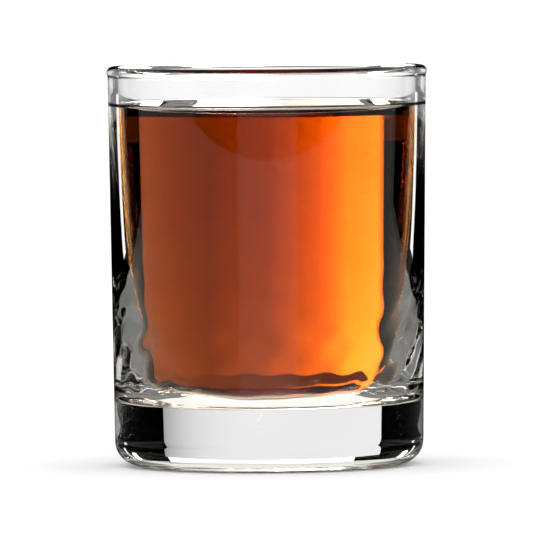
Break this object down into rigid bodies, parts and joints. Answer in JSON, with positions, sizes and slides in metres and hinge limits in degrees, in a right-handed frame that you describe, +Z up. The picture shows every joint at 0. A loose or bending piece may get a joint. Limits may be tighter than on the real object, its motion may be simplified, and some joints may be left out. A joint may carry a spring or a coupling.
{
  "type": "glass of bourbon",
  "caption": "Straight-sided clear glass rocks tumbler with a thick solid base, filled most of the way with neat amber bourbon.",
  "frame": {"origin": "centre of the foot, on the plane that the tumbler stands on", "axes": "+Z up along the tumbler's axis of revolution; X and Y are any two level directions"},
  "size_m": [0.084, 0.084, 0.1045],
  "materials": {
    "clear_glass": "fire-polished clear soda-lime glass",
    "bourbon": "clear amber liquid with a still surface"
  },
  "bodies": {
    "root": {"tumbler": "clear_glass", "bourbon": "bourbon"}
  },
  "joints": []
}
